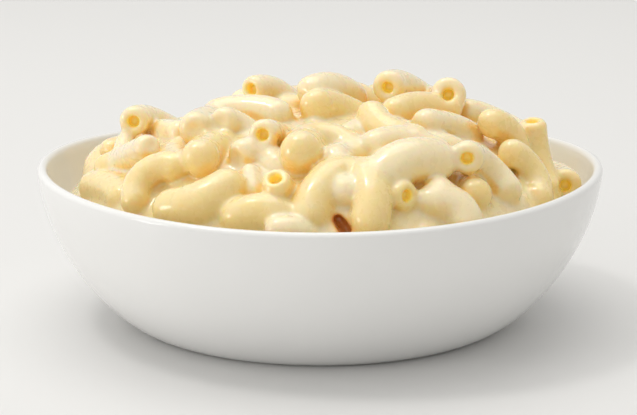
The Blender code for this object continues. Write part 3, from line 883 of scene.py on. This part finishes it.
def spin(name, profile, segments):
    """A closed turned solid from (radius, height) points that start and end on the axis."""
    mesh = bmesh.new()
    rings = []
    for radius, height in profile:
        if radius == 0:
            rings.append([mesh.verts.new((0, 0, height * MM))])
            continue
        ring = []
        for k in range(segments):
            angle = 2 * math.pi * k / segments
            lift = RIM_SADDLE * math.cos(2 * angle) * (height / RIM_HEIGHT) ** SADDLE_POWER
            at = (radius * math.cos(angle), radius * math.sin(angle), height + lift)
            ring.append(mesh.verts.new(Vector(at) * MM))
        rings.append(ring)
    for low, high in zip(rings, rings[1:]):
        for k in range(segments):
            after = (k + 1) % segments
            if len(low) == 1:
                mesh.faces.new((low[0], high[k], high[after]))
            elif len(high) == 1:
                mesh.faces.new((low[k], high[0], low[after]))
            else:
                mesh.faces.new((low[k], high[k], high[after], low[after]))
    bmesh.ops.recalc_face_normals(mesh, faces=mesh.faces)
    data = bpy.data.meshes.new(name)
    mesh.to_mesh(data)
    mesh.free()
    made = bpy.data.objects.new(name, data)
    bpy.context.scene.collection.objects.link(made)
    data.shade_smooth()
    return made


def bowl_profile():
    """Radii and heights from the foot's middle, up the outside, over the lip and down the inside."""
    foot_inside = FOOT_RADIUS - FOOT_WIDTH
    points = [(0, FOOT_RECESS), (foot_inside - FOOT_RECESS, FOOT_RECESS), (foot_inside, 0)]
    points.append((FOOT_RADIUS - FOOT_EDGE, 0))
    lip = RIM_THICKNESS / 2
    top = RIM_HEIGHT - lip
    points += [(outer_radius(z), z) for z in side_heights(FOOT_EDGE / 2, top, SIDE_STEPS)]
    for i in range(1, LIP_STEPS):
        angle = math.pi * i / LIP_STEPS
        points.append((BOWL_RADIUS - lip + lip * math.cos(angle), top + lip * math.sin(angle)))
    points += [(inner_radius(z), z) for z in reversed(side_heights(FLOOR_HEIGHT, top, SIDE_STEPS))]
    points.append((0, FLOOR_HEIGHT))
    return points


def make_bowl():
    bowl = spin("bowl_glazed", bowl_profile(), BOWL_SEGMENTS)
    bowl.data.set_sharp_from_angle(angle=SHARP_ANGLE)
    return bowl


def new_material(name):
    material = bpy.data.materials.new(name)
    material.use_nodes = True
    return material, material.node_tree.nodes, material.node_tree.links


def set_inputs(node, values):
    for name, value in values.items():
        node.inputs[name].default_value = value


def attribute_value(nodes, name):
    node = nodes.new("ShaderNodeAttribute")
    node.attribute_name = name
    return node.outputs["Fac"]


def noise_value(nodes, links, scale, detail):
    coords = nodes.new("ShaderNodeTexCoord")
    noise = nodes.new("ShaderNodeTexNoise")
    noise.inputs["Scale"].default_value = scale
    noise.inputs["Detail"].default_value = detail
    links.new(coords.outputs["Object"], noise.inputs["Vector"])
    return noise.outputs["Fac"]


def remap(nodes, links, value, low, high, first, last):
    node = nodes.new("ShaderNodeMapRange")
    node.interpolation_type = "SMOOTHSTEP"
    node.inputs["From Min"].default_value = low
    node.inputs["From Max"].default_value = high
    node.inputs["To Min"].default_value = first
    node.inputs["To Max"].default_value = last
    links.new(value, node.inputs["Value"])
    return node.outputs["Result"]


def add(nodes, links, a, b):
    node = nodes.new("ShaderNodeMath")
    node.operation = "ADD"
    links.new(a, node.inputs[0])
    links.new(b, node.inputs[1])
    return node.outputs["Value"]


def mix_colour(nodes, links, share, a, b):
    """Blends two colours, each a fixed colour or an output, by an output between 0 and 1."""
    node = nodes.new("ShaderNodeMix")
    node.data_type = "RGBA"
    links.new(share, node.inputs["Factor"])
    for colour, socket in ((a, node.inputs[6]), (b, node.inputs[7])):
        if isinstance(colour, tuple):
            socket.default_value = colour
        else:
            links.new(colour, socket)
    return node.outputs[2]


def add_bump(nodes, links, shader, height, strength):
    bump = nodes.new("ShaderNodeBump")
    set_inputs(bump, {"Strength": strength, "Distance": BUMP_DISTANCE})
    links.new(height, bump.inputs["Height"])
    links.new(bump.outputs["Normal"], shader.inputs["Normal"])


def sauce_colour(nodes, links, bore):
    """Cream, yellower where the sauce is thin and with painted shade on the side turned from the light,
    with painted shade in crevices and gaps, and the bare pasta's yellow in the bores.
    """
    mottle = remap(nodes, links, noise_value(nodes, links, *MOTTLE_NOISE), *MOTTLE_RANGE)
    own = remap(nodes, links, attribute_value(nodes, "thinness"), *THINNESS_RANGE)
    # Painted shade: skin turned away from the light gets more of the yellow, added to the real thin
    # sauce and mottle.
    under = remap(nodes, links, attribute_value(nodes, "painted_side_shade"), *SIDE_SHADE_RANGE)
    thin = add(nodes, links, add(nodes, links, own, under), mottle)
    colour = mix_colour(nodes, links, remap(nodes, links, thin, *EASED_RANGE), CREAM, YELLOW)
    # Painted shade: the less open a point is, the more of the orange crevice shade it gets.
    closed = remap(nodes, links, attribute_value(nodes, "openness"), *CREVICE_SHADE_RANGE)
    colour = mix_colour(nodes, links, closed, colour, CREVICE_SHADE)
    # Painted shade in the deep gaps between noodles.
    colour = mix_colour(nodes, links, attribute_value(nodes, "painted_gap_shade"), colour, GAP_SHADE)
    return mix_colour(nodes, links, bore, colour, BORE)


def sauce_material():
    material, nodes, links = new_material("cheese_sauce")
    shader = nodes["Principled BSDF"]
    set_inputs(shader, SAUCE_INPUTS)
    bore = attribute_value(nodes, "boreness")
    links.new(sauce_colour(nodes, links, bore), shader.inputs["Base Color"])
    # Painted light: the open bores glow orange-yellow though they hold no lamp.
    links.new(remap(nodes, links, bore, *PAINTED_GLOW_RANGE), shader.inputs["Emission Strength"])
    gloss = remap(nodes, links, noise_value(nodes, links, *GLOSS_NOISE), *GLOSS_RANGE)
    links.new(gloss, shader.inputs["Roughness"])
    add_bump(nodes, links, shader, noise_value(nodes, links, *PASTA_NOISE), PASTA_BUMP)
    return material


def glaze_material():
    material, nodes, links = new_material("white_glaze")
    shader = nodes["Principled BSDF"]
    set_inputs(shader, GLAZE_INPUTS)
    drift = noise_value(nodes, links, *GLAZE_NOISE)
    ramp = nodes.new("ShaderNodeValToRGB")
    ramp.color_ramp.elements[0].color = GLAZE_DARK
    ramp.color_ramp.elements[1].color = GLAZE_PALE
    links.new(drift, ramp.inputs["Fac"])
    links.new(ramp.outputs["Color"], shader.inputs["Base Color"])
    add_bump(nodes, links, shader, drift, GLAZE_BUMP)
    return material


def make_floor():
    half = STAGE_SIZE / 2
    corners = np.array([(-half, -half, 0), (half, -half, 0), (half, half, 0), (-half, half, 0)])
    floor = mesh_object("floor", corners, np.array([(0, 1, 2, 3)]))
    material, nodes, _ = new_material("pale_floor")
    set_inputs(nodes["Principled BSDF"], STAGE_INPUTS)
    floor.data.materials.append(material)


def make_world():
    """Even studio surroundings that are brighter on the left."""
    world = bpy.data.worlds.new("studio")
    world.use_nodes = True
    nodes, links = world.node_tree.nodes, world.node_tree.links
    coords = nodes.new("ShaderNodeTexCoord")
    split = nodes.new("ShaderNodeSeparateXYZ")
    links.new(coords.outputs["Generated"], split.inputs["Vector"])
    strength = remap(nodes, links, split.outputs["X"], *STUDIO_RANGE)
    links.new(strength, nodes["Background"].inputs["Strength"])
    nodes["Background"].inputs["Color"].default_value = STUDIO_COLOUR
    bpy.context.scene.world = world


def make_lights():
    for name, (place, size, power, colour) in LIGHTS.items():
        light = bpy.data.lights.new(name, "AREA")
        light.shape = "DISK"
        light.size = size
        light.energy = power
        light.color = colour
        lamp = bpy.data.objects.new(name, light)
        lamp.location = place
        toward = Vector(LIGHT_TARGET) - Vector(place)
        lamp.rotation_euler = toward.to_track_quat("-Z", "Y").to_euler()
        bpy.context.scene.collection.objects.link(lamp)
    bpy.context.scene.view_settings.view_transform = "Standard"


def make_camera():
    data = bpy.data.cameras.new("view")
    camera = bpy.data.objects.new("view", data)
    eye, lean, _ = view_axes()
    camera.location = Vector(eye) * MM
    camera.rotation_euler = Vector(lean).to_track_quat("-Z", "Y").to_euler()
    data.sensor_width = SENSOR_WIDTH
    data.lens = FOCAL_PIXELS / PICTURE_SIZE[0] * SENSOR_WIDTH
    data.clip_start = CLIP_START
    bpy.context.scene.collection.objects.link(camera)
    bpy.context.scene.camera = camera


make_floor()
make_world()
make_lights()
make_camera()

bowl = make_bowl()
bowl.data.materials.append(glaze_material())
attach(bowl, "root")
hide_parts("bowl")

heap = make_heap()
heap.data.materials.append(sauce_material())
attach(heap, "root")
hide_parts("macaroni_heap")

bpy.context.view_layer.update()
